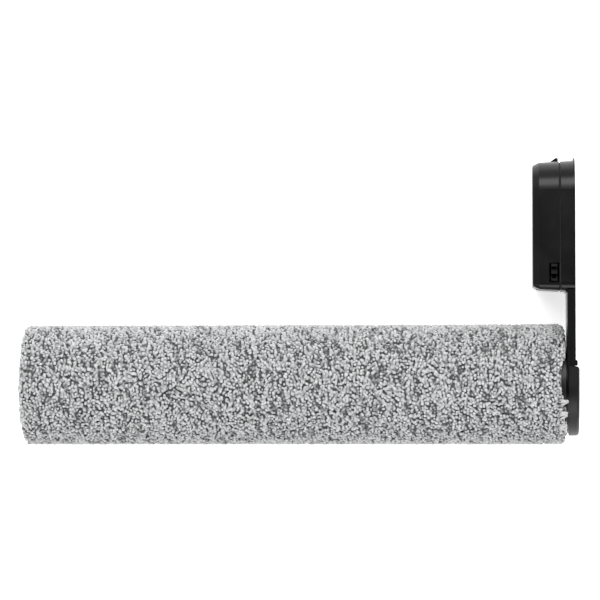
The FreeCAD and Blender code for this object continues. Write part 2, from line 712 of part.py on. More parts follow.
def guide_strap(start):
    """Thin plate that closes a guide's slot."""
    strap_face = INNER_EDGE - STRAP_THICKNESS
    top = GUIDE_HALF_DEPTH + 6
    strap = block(strap_face, INNER_EDGE, start, start + GUIDE_LENGTH, -GUIDE_HALF_DEPTH, top)
    for y, z in strap_screw_places(start):
        strap = strap.cut(rod(strap_face, INNER_EDGE, STRAP_SCREW_RADIUS + SLIP, y, z))
    return strap


def strap_screw(y, z):
    """Small screw that holds a strap."""
    screw = rod(INNER_EDGE, INNER_EDGE + STRAP_SCREW_HEAD, 2 * STRAP_SCREW_RADIUS, y, z)
    return screw.fuse(rod(INNER_EDGE - 5, INNER_EDGE, STRAP_SCREW_RADIUS, y, z))


def release_button():
    """Ribbed button with a stem whose sloping end drives the latch."""
    x1 = ARM_FACE - BUTTON_NEAR
    x0 = x1 - BUTTON_WIDTH
    top = surface_height(x0) - BUTTON_RECESS
    head = block(x0, x1, BUTTON_START, BUTTON_END, top - BUTTON_HEAD, top)
    pocket_count = BUTTON_RIB_COUNT - 1
    pocket = (BUTTON_LENGTH - BUTTON_RIB_COUNT * BUTTON_RIB) / pocket_count
    for i in range(pocket_count):
        y = BUTTON_START + BUTTON_RIB + i * (pocket + BUTTON_RIB)
        head = head.cut(block(x0, x1, y, y + pocket, top - BUTTON_POCKET_DEPTH, top))
        rail = BUTTON_RAIL
        head = head.cut(block(x0 + rail, x1 - rail, y, y + pocket, top - BUTTON_HEAD, top))
    plane = cam_sum() + CAM_GAP * math.sqrt(2)
    stem_y = BUTTON_END - STEM_LENGTH
    stem_z = plane - stem_y - 2.6
    stem_points = [
        Vector(x0, stem_y, top - BUTTON_HEAD + 1),
        Vector(x0, stem_y, plane - stem_y),
        Vector(x0, plane - stem_z, stem_z),
        Vector(x0, BUTTON_END, stem_z),
        Vector(x0, BUTTON_END, top - BUTTON_HEAD + 1),
    ]
    outline = Part.makePolygon(stem_points + stem_points[:1])
    stem = Part.Face(outline).extrude(Vector(BUTTON_WIDTH, 0, 0))
    foot_z = button_foot()
    foot = block(x0, x1, BUTTON_END - 1, BUTTON_END + FOOT_LENGTH, foot_z, foot_z + FOOT_HEIGHT)
    return head.fuse([stem, foot]).removeSplitter()


def button_foot():
    """Z of the foot that the button's spring pushes up."""
    inside = surface_height(PLUG_FLOOR) - PLUG_SHELL
    return inside - 0.3 - FOOT_HEIGHT


def latch_spring():
    """Spring that pushes the latch out."""
    seat = spring_seat()
    spring = coil_spring(
        LATCH_SPRING_RADIUS, LATCH_SPRING_WIRE, SPRING_LUG - seat, LATCH_SPRING_TURNS
    )
    spring.rotate(Vector(0, 0, 0), Vector(1, 0, 0), -90)
    spring.translate(Vector((LATCH_FRONT + LATCH_BACK) / 2, seat, SPRING_AXIS_Z))
    return spring


def button_spring():
    """Spring that lifts the button."""
    length = button_foot() - button_shelf()
    spring = coil_spring(BUTTON_SPRING_RADIUS, BUTTON_SPRING_WIRE, length, BUTTON_SPRING_TURNS)
    x = ARM_FACE - BUTTON_NEAR - BUTTON_WIDTH / 2
    spring.translate(Vector(x, BUTTON_END + FOOT_LENGTH / 2 + 0.2, button_shelf()))
    return spring


def roller_pieces():
    """Solids that turn about the roller's axis, and the bearing."""
    pieces = {
        "pile_sleeve": pile_sleeve(),
        "backing_cloth": backing_cloth(),
        "core_tube": core_tube(),
        "drive_end_cap": drive_end_cap(),
        "drive_insert": drive_insert(),
        "bearing_carrier": bearing_carrier(),
        "end_ring": end_ring(),
        "outer_race": outer_race(),
        "shield_left": bearing_shield(BEARING_START + SHIELD_INSET),
        "shield_right": bearing_shield(BEARING_END - SHIELD_INSET - SHIELD_THICKNESS),
        "retaining_ring": retaining_ring(),
        "lip_seal": lip_seal(),
        "bearing_cage": bearing_cage(),
    }
    for index in range(BALL_COUNT):
        pieces[f"ball_{index + 1}"] = ball(index, BALL_RADIUS)
    return pieces


def bracket_pieces():
    """Solids of the bracket, drawn level."""
    pieces = {
        "inner_race": inner_race(),
        "axle": axle(),
        "axle_circlip": axle_circlip(),
        "axle_washer": axle_washer(),
        "axle_screw": axle_screw(),
        "thrust_washer": thrust_washer(),
        "outer_housing": outer_housing(),
        "inner_housing": inner_housing(),
        "housing_gasket": housing_gasket(),
        "side_cover": side_cover(),
        "hub_cap": hub_cap(),
        "latch_bar": latch_bar(),
        "latch_spring": latch_spring(),
        "release_button": release_button(),
        "button_spring": button_spring(),
    }
    for number, (y, z) in enumerate(screw_places(), 1):
        pieces[f"housing_screw_{number}"] = housing_screw(y, z)
    screw_number = 0
    for number, start in enumerate(GUIDE_STARTS, 1):
        pieces[f"guide_strap_{number}"] = guide_strap(start)
        for y, z in strap_screw_places(start):
            screw_number += 1
            pieces[f"strap_screw_{screw_number}"] = strap_screw(y, z)
    return pieces


def main():
    """Writes every piece to its own file, with the bracket tipped onto the floor."""
    os.makedirs("parts", exist_ok=True)
    pieces = roller_pieces()
    for name, shape in bracket_pieces().items():
        shape.rotate(Vector(0, 0, 0), Vector(1, 0, 0), -rest_tilt())
        pieces[name] = shape
    for name, shape in pieces.items():
        if len(shape.Solids) == 1:
            shape = shape.Solids[0]
        print(name, len(shape.Solids), shape.isValid(), round(shape.Volume, 1))
        shape.exportStep(f"parts/{name}.step")


if __name__ == "__main__":
    main()
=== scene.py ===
"""Roller brush of a wet-and-dry floor washer: the nap, the finishes, the stage and the camera.

The roller lies along +X with its drive end at the origin, and its bracket stands off towards +Y.
"""

import math
import random

import bpy
import numpy as np
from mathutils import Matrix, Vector, noise


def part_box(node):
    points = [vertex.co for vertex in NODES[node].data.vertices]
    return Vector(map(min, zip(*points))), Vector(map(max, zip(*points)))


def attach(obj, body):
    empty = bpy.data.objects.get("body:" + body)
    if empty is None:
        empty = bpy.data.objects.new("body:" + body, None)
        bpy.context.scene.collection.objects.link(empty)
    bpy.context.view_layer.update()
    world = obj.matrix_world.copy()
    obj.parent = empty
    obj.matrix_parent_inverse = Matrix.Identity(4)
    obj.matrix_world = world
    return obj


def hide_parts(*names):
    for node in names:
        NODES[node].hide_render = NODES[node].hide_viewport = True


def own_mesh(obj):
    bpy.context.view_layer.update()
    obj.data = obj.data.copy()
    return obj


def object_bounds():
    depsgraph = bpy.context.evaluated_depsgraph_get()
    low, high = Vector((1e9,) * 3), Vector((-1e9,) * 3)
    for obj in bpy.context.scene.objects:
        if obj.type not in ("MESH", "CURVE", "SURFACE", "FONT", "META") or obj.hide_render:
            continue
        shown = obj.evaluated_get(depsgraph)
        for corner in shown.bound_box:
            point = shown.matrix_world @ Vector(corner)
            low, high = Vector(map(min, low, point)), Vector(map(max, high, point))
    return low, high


bl_info = {
    "name": "Floor Washer Roller Brush",
    "version": (1, 0, 0),
    "blender": (4, 5, 0),
    "location": "3D View > Sidebar > Roller Brush",
    "description": "Grows the roller's nap and gives every piece its finish",
    "category": "Object",
}

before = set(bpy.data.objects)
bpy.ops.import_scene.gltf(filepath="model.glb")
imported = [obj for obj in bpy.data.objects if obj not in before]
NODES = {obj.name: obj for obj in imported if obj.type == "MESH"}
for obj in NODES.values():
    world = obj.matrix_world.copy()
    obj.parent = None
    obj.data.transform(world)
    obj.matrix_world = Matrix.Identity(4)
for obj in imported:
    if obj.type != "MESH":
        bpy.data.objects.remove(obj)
CAD_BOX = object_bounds()
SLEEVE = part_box("pile_sleeve")
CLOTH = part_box("backing_cloth")
NAP_START = SLEEVE[0].x
NAP_END = SLEEVE[1].x
NAP_RADIUS = SLEEVE[1].z
CLOTH_RADIUS = CLOTH[1].z
FLOOR_LEVEL = CAD_BOX[0].z
MM = 0.001
BAKE_MAP = "OFBake"

# Attributes of the nap: each tuft's own tone, and how far each point is out of the painted shade
# that darkens the roots
TONE = "tone"
LIFT = "lift"

# Springs of the release, and the joint that shortens each
SPRINGS = {"latch_spring": "latch_slide", "button_spring": "release_press"}

# Length in millimetres and bend in degrees of each modelled tuft
TUFT_SHAPES = ((3.4, 55), (3.8, 80), (4.2, 100), (3.1, 35), (4.6, 120))
WISP_LENGTH = 4.5 * MM
WISP_BEND = 40
WISP_COUNT = 130

# Loose locks beside the bracket: Y of each, and how far it reaches past the nap
LOOSE_LOCKS = ((-6.6 * MM, 1.6 * MM), (-13.0 * MM, 0.9 * MM), (-19.0 * MM, 0.6 * MM))
LOCK_STRANDS = 7

# How tufts are spread: share of their spacing by which they stray, and how close the rows stand
TUFT_STRAY = 0.42
END_STRAY = 0.3
ROW_PACKING = 0.9

# Slope of the nap's grain round the roller, X over arc
NAP_SLANT = 0.27
# How far the bent tufts are raised to fill the roller's full radius, and how far a few may pass it
NAP_RAISE = 0.45 * MM
NAP_STRAY = 0.2 * MM
# Depth of the dense ground under the full radius, and its distance from the nap's two ends
GROUND_DEPTH = 1.35 * MM
GROUND_START = 2.4 * MM
GROUND_STOP = 4.0 * MM
# Depth at which a tuft is wholly in the painted shade, and the depth that end tufts count as
# having, which paints them lighter
NAP_SHADE_DEPTH = 2.1 * MM
END_LIGHT = -2.2 * MM

# The nap's end beside the bracket: its inset, its hollow in the middle, its corner and its ripple
END_INSET = 0.6 * MM
WORN_MIDDLE = 4.0 * MM
WORN_SPAN = 8.5 * MM
WORN_DEPTH = 2.2 * MM
CORNER_FROM = 24.5 * MM
CORNER_SPAN = 6.0 * MM
RIPPLE_SIZE = 3.0 * MM
RIPPLE_DEPTH = 0.7 * MM
SHOULDER_LENGTH = 2.6 * MM
SHOULDER_DROP = 1.1 * MM

# Stage: sizes in metres, angles in radians
FLOOR_SIZE = 8.0
LAMP_WIDTH = 1.7
FAR_LAMP = {"y": 0.80, "z": 1.05, "depth": 0.65}
NEAR_LAMP = {"y": -1.00, "z": 0.84, "depth": 0.80}
CAMERA_X = 0.2338
CAMERA_Y = 0.0870
CAMERA_TURN = (-0.0332, 0.0727, -0.0061)
SENSOR_WIDTH = 36.0


# ---------------------------------------------------------------------------------------------
# Shader maths
# ---------------------------------------------------------------------------------------------


class Wire:
    """One output of a shader node, usable in Python arithmetic."""

    def __init__(self, finish, socket):
        self.finish = finish
        self.socket = socket

    def math(self, operation, other=0.0):
        """Adds a Math node that takes this value first."""
        values = {0: self, 1: other}
        return self.finish.node("ShaderNodeMath", {"operation": operation}, values)

    def __add__(self, other):
        return self.math("ADD", other)

    def __radd__(self, other):
        return self.math("ADD", other)

    def __sub__(self, other):
        return self.math("SUBTRACT", other)

    def __rsub__(self, other):
        return self.math("MULTIPLY", -1.0).math("ADD", other)

    def __mul__(self, other):
        return self.math("MULTIPLY", other)

    def __rmul__(self, other):
        return self.math("MULTIPLY", other)

    def ease(self, low, high):
        """0 below low, 1 above high, and a smooth step between them."""
        settings = {"interpolation_type": "SMOOTHSTEP"}
        values = {0: self, 1: low, 2: high, 3: 0.0, 4: 1.0}
        return self.finish.node("ShaderNodeMapRange", settings, values)


class Finish:
    """A material's node tree. Its nodes come from node(), save the split made in axes()."""

    def __init__(self, name):
        self.material = bpy.data.materials.new(name)
        self.material.use_nodes = True
        self.tree = self.material.node_tree
        self.tree.nodes.clear()

    def node(self, kind, settings=None, values=None, output=0):
        """Adds one node, sets it, fills or links its inputs, and returns one of its outputs."""
        made = self.tree.nodes.new(kind)
        for key, value in (settings or {}).items():
            setattr(made, key, value)
        for key, value in (values or {}).items():
            if isinstance(value, Wire):
                self.tree.links.new(value.socket, made.inputs[key])
            else:
                made.inputs[key].default_value = value
        return Wire(self, made.outputs[output]) if made.outputs else None

    def place(self, stretch=(1.0, 1.0, 1.0)):
        """The piece's own coordinates in metres, each axis scaled."""
        here = self.node("ShaderNodeTexCoord", output=3)
        if stretch == (1.0, 1.0, 1.0):
            return here
        return self.node("ShaderNodeMapping", None, {0: here, 3: stretch})

    def axes(self):
        """X, Y and Z of the piece's own coordinates."""
        made = self.tree.nodes.new("ShaderNodeSeparateXYZ")
        self.tree.links.new(self.place().socket, made.inputs[0])
        return [Wire(self, out) for out in made.outputs]

    def noise(self, size, detail=2.0, stretch=(1.0, 1.0, 1.0), distortion=0.0):
        """Noise whose features are about size metres wide, from 0 to 1."""
        values = {
            "Vector": self.place(stretch),
            "Scale": 1.0 / size,
            "Detail": detail,
            "Distortion": distortion,
        }
        return self.node("ShaderNodeTexNoise", None, values)

    def cells(self, size):
        """Distance from the nearest of scattered points about size metres apart."""
        values = {"Vector": self.place(), "Scale": 1.0 / size}
        return self.node("ShaderNodeTexVoronoi", None, values)

    def blend(self, factor, first, second):
        """Colour between two colours."""
        settings = {"data_type": "RGBA"}
        return self.node("ShaderNodeMix", settings, {0: factor, 6: first, 7: second}, output=2)

    def bump(self, height, distance):
        """Normal that shows a height."""
        values = {"Distance": distance, "Height": height}
        return self.node("ShaderNodeBump", None, values)

    def surface(self, values):
        """Closes the material with a Principled shader."""
        shader = self.node("ShaderNodeBsdfPrincipled", None, values)
        self.node("ShaderNodeOutputMaterial", None, {"Surface": shader})
        return self.material


def shade_of(colour, share):
    """The colour made lighter or darker by a share."""
    return (colour[0] * share, colour[1] * share, colour[2] * share, 1.0)


# ---------------------------------------------------------------------------------------------
# Finishes
# ---------------------------------------------------------------------------------------------


def moulded(name, colour, roughness, grain_size=0.22 * MM, relief=0.012 * MM, scuffs=0.5):
    """Injection-moulded plastic: spark-eroded grain, slow shade changes, rub marks and dust."""
    finish = Finish(name)
    slow = finish.noise(14 * MM, 3.0)
    rubbed = finish.noise(3.5 * MM, 4.0, (1.0, 0.35, 1.0), 0.6).ease(0.56, 0.78)
    fine = finish.noise(grain_size, 2.0)
    coarse = finish.noise(grain_size * 3, 1.0)
    dust = 1.0 - finish.cells(4.2 * MM).ease(0.0, 0.028)
    base = finish.blend(slow.ease(0.3, 0.7), shade_of(colour, 0.82), shade_of(colour, 1.22))
    base = finish.blend(rubbed * (0.35 * scuffs), base, shade_of(colour, 2.6))
    base = finish.blend(dust * 0.35, base, (0.16, 0.16, 0.155, 1.0))
    rough = roughness + (slow - 0.5) * 0.16 + (fine - 0.5) * 0.10 + rubbed * (0.07 * scuffs)
    normal = finish.bump(fine * 0.65 + coarse * 0.35, relief)
    values = {
        "Base Color": base,
        "Roughness": rough,
        "Normal": normal,
        "Specular IOR Level": 0.3,
    }
    return finish.surface(values)


def bright_steel(name, colour, roughness, lines=(1.0, 1.0, 1.0), line_size=0.25 * MM):
    """Machined or drawn steel: fine tool lines, a slow tint and faint handling marks."""
    finish = Finish(name)
    tool = finish.noise(line_size, 3.0, lines)
    slow = finish.noise(5 * MM, 2.0)
    base = finish.blend(slow, shade_of(colour, 0.86), shade_of(colour, 1.08))
    rough = roughness + (tool - 0.5) * 0.16 + (slow - 0.5) * 0.08
    normal = finish.bump(tool, 0.004 * MM)
    values = {"Base Color": base, "Metallic": 1.0, "Roughness": rough, "Normal": normal}
    return finish.surface(values)


def moulded_rubber(name, colour):
    """Matt rubber with a bloom of dust in its pores."""
    finish = Finish(name)
    pores = finish.noise(0.18 * MM, 3.0)
    bloom = finish.noise(4 * MM, 3.0).ease(0.45, 0.75)
    base = finish.blend(bloom * 0.4, colour, shade_of(colour, 2.4))
    rough = 0.72 + (pores - 0.5) * 0.2
    normal = finish.bump(pores, 0.02 * MM)
    return finish.surface({"Base Color": base, "Roughness": rough, "Normal": normal})


def around_roller(finish):
    """Distance from the roller's axis, and the angle round it from -1 to 1."""
    _, y, z = finish.axes()
    radius = (y * y + z * z).math("SQRT")
    turn = y.math("ARCTAN2", z) * (1 / math.pi)
    return radius, turn


def woven_backing(name, colour):
    """Plain woven cloth: threads along the roller and round it, with uneven yarn."""
    finish = Finish(name)
    x, _, _ = finish.axes()
    _, turn = around_roller(finish)
    warp = (x * (2 * math.pi / (0.8 * MM))).math("SINE")
    weft = (turn * (math.pi * 170)).math("SINE")
    weave = (warp * weft) * 0.5 + 0.5
    yarn = finish.noise(0.5 * MM, 3.0)
    base = finish.blend(weave * 0.5 + yarn * 0.5, shade_of(colour, 0.55), shade_of(colour, 1.25))
    normal = finish.bump(weave * 0.7 + yarn * 0.3, 0.15 * MM)
    values = {"Base Color": base, "Roughness": 0.9, "Normal": normal, "Sheen Weight": 0.2}
    return finish.surface(values)


def microfibre(name, light, dark):
    """Nap fibre: painted shade darkens it towards the roots between the tufts, pale at the tips,
    each tuft with a tone of its own.
    """
    finish = Finish(name)
    tone = finish.node("ShaderNodeAttribute", {"attribute_name": TONE}, output=2)
    lift = finish.node("ShaderNodeAttribute", {"attribute_name": LIFT}, output=2)
    # Painted shade: 0 deep among the roots, 1 out of the shade at the tips
    painted_light_share = lift.ease(0.0, 0.9)
    wisps = finish.noise(0.28 * MM, 3.0, distortion=0.8)
    patches = finish.noise(16 * MM, 3.0)
    tip = finish.blend(tone, shade_of(light, 0.80), shade_of(light, 1.10))
    tip = finish.blend(wisps.ease(0.3, 0.75) * 0.35, tip, shade_of(light, 0.70))
    tip = finish.blend(patches.ease(0.35, 0.7) * 0.25, tip, shade_of(light, 0.85))
    # Painted shade: roots take the dark colour, tips the light one
    base = finish.blend(painted_light_share, dark, tip)
    normal = finish.bump(wisps, 0.10 * MM)
    values = {
        "Base Color": base,
        "Roughness": 0.95,
        "Normal": normal,
        "Specular IOR Level": 0.2,
        "Sheen Weight": 0.15,
        "Sheen Roughness": 0.5,
    }
    return finish.surface(values)


def matted_fibre(name, light, dark):
    """Dense fibre at the foot of the nap, coloured dark as painted shade."""
    finish = Finish(name)
    strands = finish.noise(0.5 * MM, 4.0, distortion=1.2)
    patches = finish.noise(6 * MM, 2.0)
    base = finish.blend(strands.ease(0.35, 0.75) * 0.5, dark, light)
    base = finish.blend(patches.ease(0.4, 0.7) * 0.3, base, dark)
    normal = finish.bump(strands, 0.3 * MM)
    return finish.surface({"Base Color": base, "Roughness": 0.95, "Normal": normal})


def painted_floor(name, colour):
    """Plain pale studio floor."""
    finish = Finish(name)
    mottle = finish.noise(0.4, 2.0)
    base = finish.blend(mottle, shade_of(colour, 0.985), shade_of(colour, 1.0))
    values = {
        "Base Color": base,
        "Roughness": 0.85,
        "Specular IOR Level": 0.2,
        "Emission Color": (1.0, 1.0, 1.0, 1.0),
        "Emission Strength": 0.66,
    }
    return finish.surface(values)


# ---------------------------------------------------------------------------------------------
# Settings
# ---------------------------------------------------------------------------------------------


class BrushFinishes(bpy.types.PropertyGroup):
    """Colours of the mouldings."""

    shell: bpy.props.FloatVectorProperty(
        name="Shell",
        description="Colour of the bracket's housings and cover",
        subtype="COLOR",
        size=3,
        default=(0.0018, 0.0018, 0.0019),
    )
    cap: bpy.props.FloatVectorProperty(
        name="Hub cap",
        description="Colour of the grained cap over the hub",
        subtype="COLOR",
        size=3,
        default=(0.0036, 0.0036, 0.0037),
    )
    latch: bpy.props.FloatVectorProperty(
        name="Latch",
        description="Colour of the sliding latch",
        subtype="COLOR",
        size=3,
        default=(0.0016, 0.0016, 0.0016),
    )
    ring: bpy.props.FloatVectorProperty(
        name="End ring",
        description="Colour of the smooth ring beside the bracket",
        subtype="COLOR",
        size=3,
        default=(0.020, 0.020, 0.021),
    )
    shell_roughness: bpy.props.FloatProperty(
        name="Shell roughness",
        description="How matt the housings are",
        default=0.31,
        min=0.05,
        max=1.0,
    )


class BrushNap(bpy.types.PropertyGroup):
    """Shape and colour of the nap."""

    pitch: bpy.props.FloatProperty(
        name="Tuft pitch",
        description="Distance between neighbouring tufts",
        default=1.6 * MM,
        unit="LENGTH",
        precision=5,
    )
    width: bpy.props.FloatProperty(
        name="Tuft width",
        description="Thickness of a tuft",
        default=1.6 * MM,
        unit="LENGTH",
        precision=5,
    )
    unevenness: bpy.props.FloatProperty(
        name="Unevenness",
        description="How far tufts stand below the nap's full height",
        default=0.70 * MM,
        unit="LENGTH",
        precision=5,
    )
    bands: bpy.props.IntProperty(
        name="Bands",
        description="Number of pieces that the nap is divided into along the roller",
        default=9,
        min=1,
    )
    seed: bpy.props.IntProperty(name="Seed", description="Start of the random layout", default=7)
    light: bpy.props.FloatVectorProperty(
        name="Tips",
        description="Colour of the tufts' tips",
        subtype="COLOR",
        size=3,
        default=(0.58, 0.583, 0.589),
    )
    # The roots' colour is painted shade: it stands for the shade between the tufts
    dark: bpy.props.FloatVectorProperty(
        name="Roots",
        description="Colour between the tufts",
        subtype="COLOR",
        size=3,
        default=(0.072, 0.073, 0.076),
    )


class BrushStage(bpy.types.PropertyGroup):
    """Camera and lamps."""

    distance: bpy.props.FloatProperty(
        name="Camera height",
        description="Height of the camera above the roller's axis",
        default=1.4,
        unit="LENGTH",
    )
    lens: bpy.props.FloatProperty(
        name="Lens",
        description="Focal length on a 36 mm sensor",
        default=176.87,
        subtype="DISTANCE_CAMERA",
    )
    floor: bpy.props.FloatVectorProperty(
        name="Floor",
        description="Colour of the floor",
        subtype="COLOR",
        size=3,
        default=(0.92, 0.92, 0.92),
    )
    far_lamp: bpy.props.FloatProperty(
        name="Far softbox",
        description="Power of the softbox on the bracket's side",
        default=19.5,
        unit="POWER",
    )
    near_lamp: bpy.props.FloatProperty(
        name="Near softbox",
        description="Power of the softbox on the roller's side",
        default=13.0,
        unit="POWER",
    )


# ---------------------------------------------------------------------------------------------
# Modelling helpers
# ---------------------------------------------------------------------------------------------


def deselect():
    """Clears the selection, so that an operator acts only on what follows."""
    for piece in bpy.context.selected_objects:
        piece.select_set(False)


def settle(piece):
    """Applies a piece's place, turn and scale to its mesh."""
    deselect()
    piece.select_set(True)
    bpy.context.view_layer.objects.active = piece
    bpy.ops.object.transform_apply(location=True, rotation=True, scale=True)


def apply_modifier(piece, kind, name, settings):
    """Adds a modifier and applies it at once."""
    modifier = piece.modifiers.new(name, kind)
    for key, value in settings.items():
        setattr(modifier, key, value)
    bpy.context.view_layer.objects.active = piece
    bpy.ops.object.modifier_apply(modifier=name)


def select_above(piece, height):
    """Selects the points above a height, and opens edit mode."""
    bpy.ops.object.mode_set(mode="EDIT")
    bpy.ops.mesh.select_mode(type="VERT")
    bpy.ops.mesh.select_all(action="DESELECT")
    bpy.ops.object.mode_set(mode="OBJECT")
    for vertex in piece.data.vertices:
        vertex.select = vertex.co.z > height
    bpy.ops.object.mode_set(mode="EDIT")


def wear(material, nodes):
    """Gives CAD nodes a material."""
    for name in nodes:
        mesh = NODES[name].data
        mesh.materials.clear()
        mesh.materials.append(material)


def new_piece(name, mesh, material):
    """Links a mesh as a named piece that turns with the roller."""
    piece = bpy.data.objects.new(name, mesh)
    bpy.context.scene.collection.objects.link(piece)
    finish_nap_piece(piece, material)
    return piece


def merged_copy(node, name):
    """A copy of a CAD node whose triangles share their corners."""
    piece = bpy.data.objects.new(name, node.data.copy())
    bpy.context.scene.collection.objects.link(piece)
    deselect()
    piece.select_set(True)
    bpy.context.view_layer.objects.active = piece
    bpy.ops.object.mode_set(mode="EDIT")
    bpy.ops.mesh.select_all(action="SELECT")
    bpy.ops.mesh.remove_doubles(threshold=0.001 * MM)
    bpy.ops.object.mode_set(mode="OBJECT")
    return piece


def finish_nap_piece(piece, material):
    """Material and the roller body that every piece of the nap shares; also hides the pile sleeve.
    """
    piece.data.materials.clear()
    piece.data.materials.append(material)
    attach(piece, "roller")
    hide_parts("pile_sleeve")


# ---------------------------------------------------------------------------------------------
# Tufts
# ---------------------------------------------------------------------------------------------


class Tuft:
    """Points, faces and map corners of one modelled tuft, root down and top up."""

    def __init__(self, piece):
        mesh = piece.data
        self.points = np.array([v.co for v in mesh.vertices])
        self.faces = [tuple(p.vertices) for p in mesh.polygons]
        layer = mesh.uv_layers.active.uv
        corners = [layer[i].vector for p in mesh.polygons for i in p.loop_indices]
        self.map = np.array(corners)
        self.top = self.points[:, 2].max()


def model_tuft(length, width, bend):
    """Models a capsule, bends it over and stands its root upright."""
    deselect()
    bpy.ops.mesh.primitive_uv_sphere_add(segments=5, ring_count=7, radius=width / 2)
    piece = bpy.context.object
    step = (length - width) / 3
    for share in (0.2, 0.0, -0.2):
        select_above(piece, share * width)
        bpy.ops.transform.translate(value=(0, 0, step))
        bpy.ops.object.mode_set(mode="OBJECT")
    piece.location.z = -length / 2
    settle(piece)
    settings = {"deform_method": "BEND", "deform_axis": "Y", "angle": bend}
    apply_modifier(piece, "SIMPLE_DEFORM", "Bend", settings)
    piece.rotation_euler.y = -bend / 2
    settle(piece)
    tuft = Tuft(piece)
    bpy.data.objects.remove(piece)
    return tuft


class Planting:
    """Collects placed tufts and turns them into one mesh."""

    def __init__(self):
        self.points = []
        self.faces = []
        self.maps = []
        self.tones = []
        self.lifts = []
        self.count = 0

    def plant(self, tuft, top, up, lean, scale, tone, sunk=0.0):
        """Places a tuft with its top at a point, standing along up and bent towards lean.

        sunk is how far its top lies below its neighbours', which darkens it with painted shade.
        """
        side = up.cross(lean).normalized()
        ahead = side.cross(up).normalized()
        turn = np.array([-ahead * scale[0], side * -scale[1], up * scale[2]])
        local = tuft.points - np.array([0, 0, tuft.top])
        self.points.append(local @ turn + np.array(top))
        self.faces.extend([tuple(i + self.count for i in face) for face in tuft.faces])
        self.count += len(tuft.points)
        self.maps.append(tuft.map)
        self.tones.append(np.full(len(tuft.points), tone))
        # Painted shade: a point darkens the deeper it lies below the crowns
        self.lifts.append(1.0 - (sunk - local[:, 2] * scale[2]) / NAP_SHADE_DEPTH)

    def mesh(self, name):
        """One mesh of all the tufts, each with its own cell of the map."""
        mesh = bpy.data.meshes.new(name)
        mesh.from_pydata(np.concatenate(self.points).tolist(), [], self.faces)
        side = math.ceil(math.sqrt(len(self.maps)))
        layer = mesh.uv_layers.new(name=BAKE_MAP)
        cells = []
        for index, corners in enumerate(self.maps):
            cell = np.array([index % side, index // side])
            cells.append((cell + 0.1 + 0.8 * corners) / side)
        layer.uv.foreach_set("vector", np.concatenate(cells).ravel())
        for key, values in ((TONE, self.tones), (LIFT, self.lifts)):
            layer = mesh.attributes.new(key, "FLOAT", "POINT")
            layer.data.foreach_set("value", np.concatenate(values))
        mesh.shade_smooth()
        return mesh


def grain(x, y, z, width, length, shift):
    """Noise stretched along the way the nap lies: round the roller, slanting a little."""
    arc = math.atan2(y, z) * NAP_RADIUS
    across = (x + arc * NAP_SLANT) / width
    return noise.noise(Vector((across, y / length, z / length + shift)))


def end_of_nap(y, z):
    """X at which the nap ends beside the bracket: it is worn back where it faces up."""
    worn = math.exp(-(((y - WORN_MIDDLE) / WORN_SPAN) ** 4)) if z > 0 else 0.0
    ripple = noise.noise(Vector((y, z, 0.0)) / RIPPLE_SIZE)
    corner = (max(y - CORNER_FROM, 0.0) / CORNER_SPAN) ** 2
    return NAP_END - END_INSET - (worn + corner) * WORN_DEPTH + ripple * RIPPLE_DEPTH


def nap_height(x, y, z, uneven, chance):
    """How far a tuft's top stands below the full radius."""
    swell = grain(x, y, z, 6.0 * MM, 8.0 * MM, 0.0) * 0.5 + 0.5
    clump = grain(x, y, z, 1.05 * MM, 4.2 * MM, 5.0) * 0.5 + 0.5
    furrow = min(max((grain(x, y, z, 1.8 * MM, 7.5 * MM, 9.0) - 0.12) / 0.25, 0.0), 1.0)
    low = uneven * (0.1 * swell + 1.15 * clump**2 + 0.15 * chance.random() + 1.15 * furrow)
    shoulder = max(x - (end_of_nap(y, z) - SHOULDER_LENGTH), 0.0) / SHOULDER_LENGTH
    return max(low - NAP_RAISE, -NAP_STRAY) + SHOULDER_DROP * shoulder**2


def swirl(x, y, z, chance):
    """Heading in which a tuft leans over: mostly the way the nap lies, or back against it."""
    drift = grain(x, y, z, 3.0 * MM, 5.0 * MM, 13.0) * 1.6
    back = math.pi if chance.random() < 0.4 else 0.0
    return math.pi / 2 + math.atan(NAP_SLANT) + drift + back + chance.uniform(-0.6, 0.6)


# ---------------------------------------------------------------------------------------------
# Operators
# ---------------------------------------------------------------------------------------------


class BRUSH_OT_bracket(bpy.types.Operator):
    """Finish the bracket's housings, cover, cap, latch and button"""

    bl_idname = "brush.bracket"
    bl_label = "Finish Bracket"

    def execute(self, context):
        tones = context.scene.brush_finishes
        rough = tones.shell_roughness
        wear(moulded("shell_plastic", tones.shell, rough), ["outer_housing", "inner_housing"])
        wear(moulded("cover_plastic", tones.shell, rough - 0.03), ["side_cover"])
        cap = moulded("cap_plastic", tones.cap, rough + 0.12, 0.42 * MM, 0.05 * MM, 0.8)
        wear(cap, ["hub_cap"])
        wear(moulded("latch_plastic", tones.latch, 0.3, 0.3 * MM, 0.004 * MM), ["latch_bar"])
        button = shade_of(tones.shell, 2.0)
        wear(moulded("button_plastic", button, 0.38, 0.2 * MM, 0.008 * MM), ["release_button"])
        wear(moulded_rubber("gasket_rubber", (0.003, 0.003, 0.003, 1.0)), ["housing_gasket"])
        return {"FINISHED"}


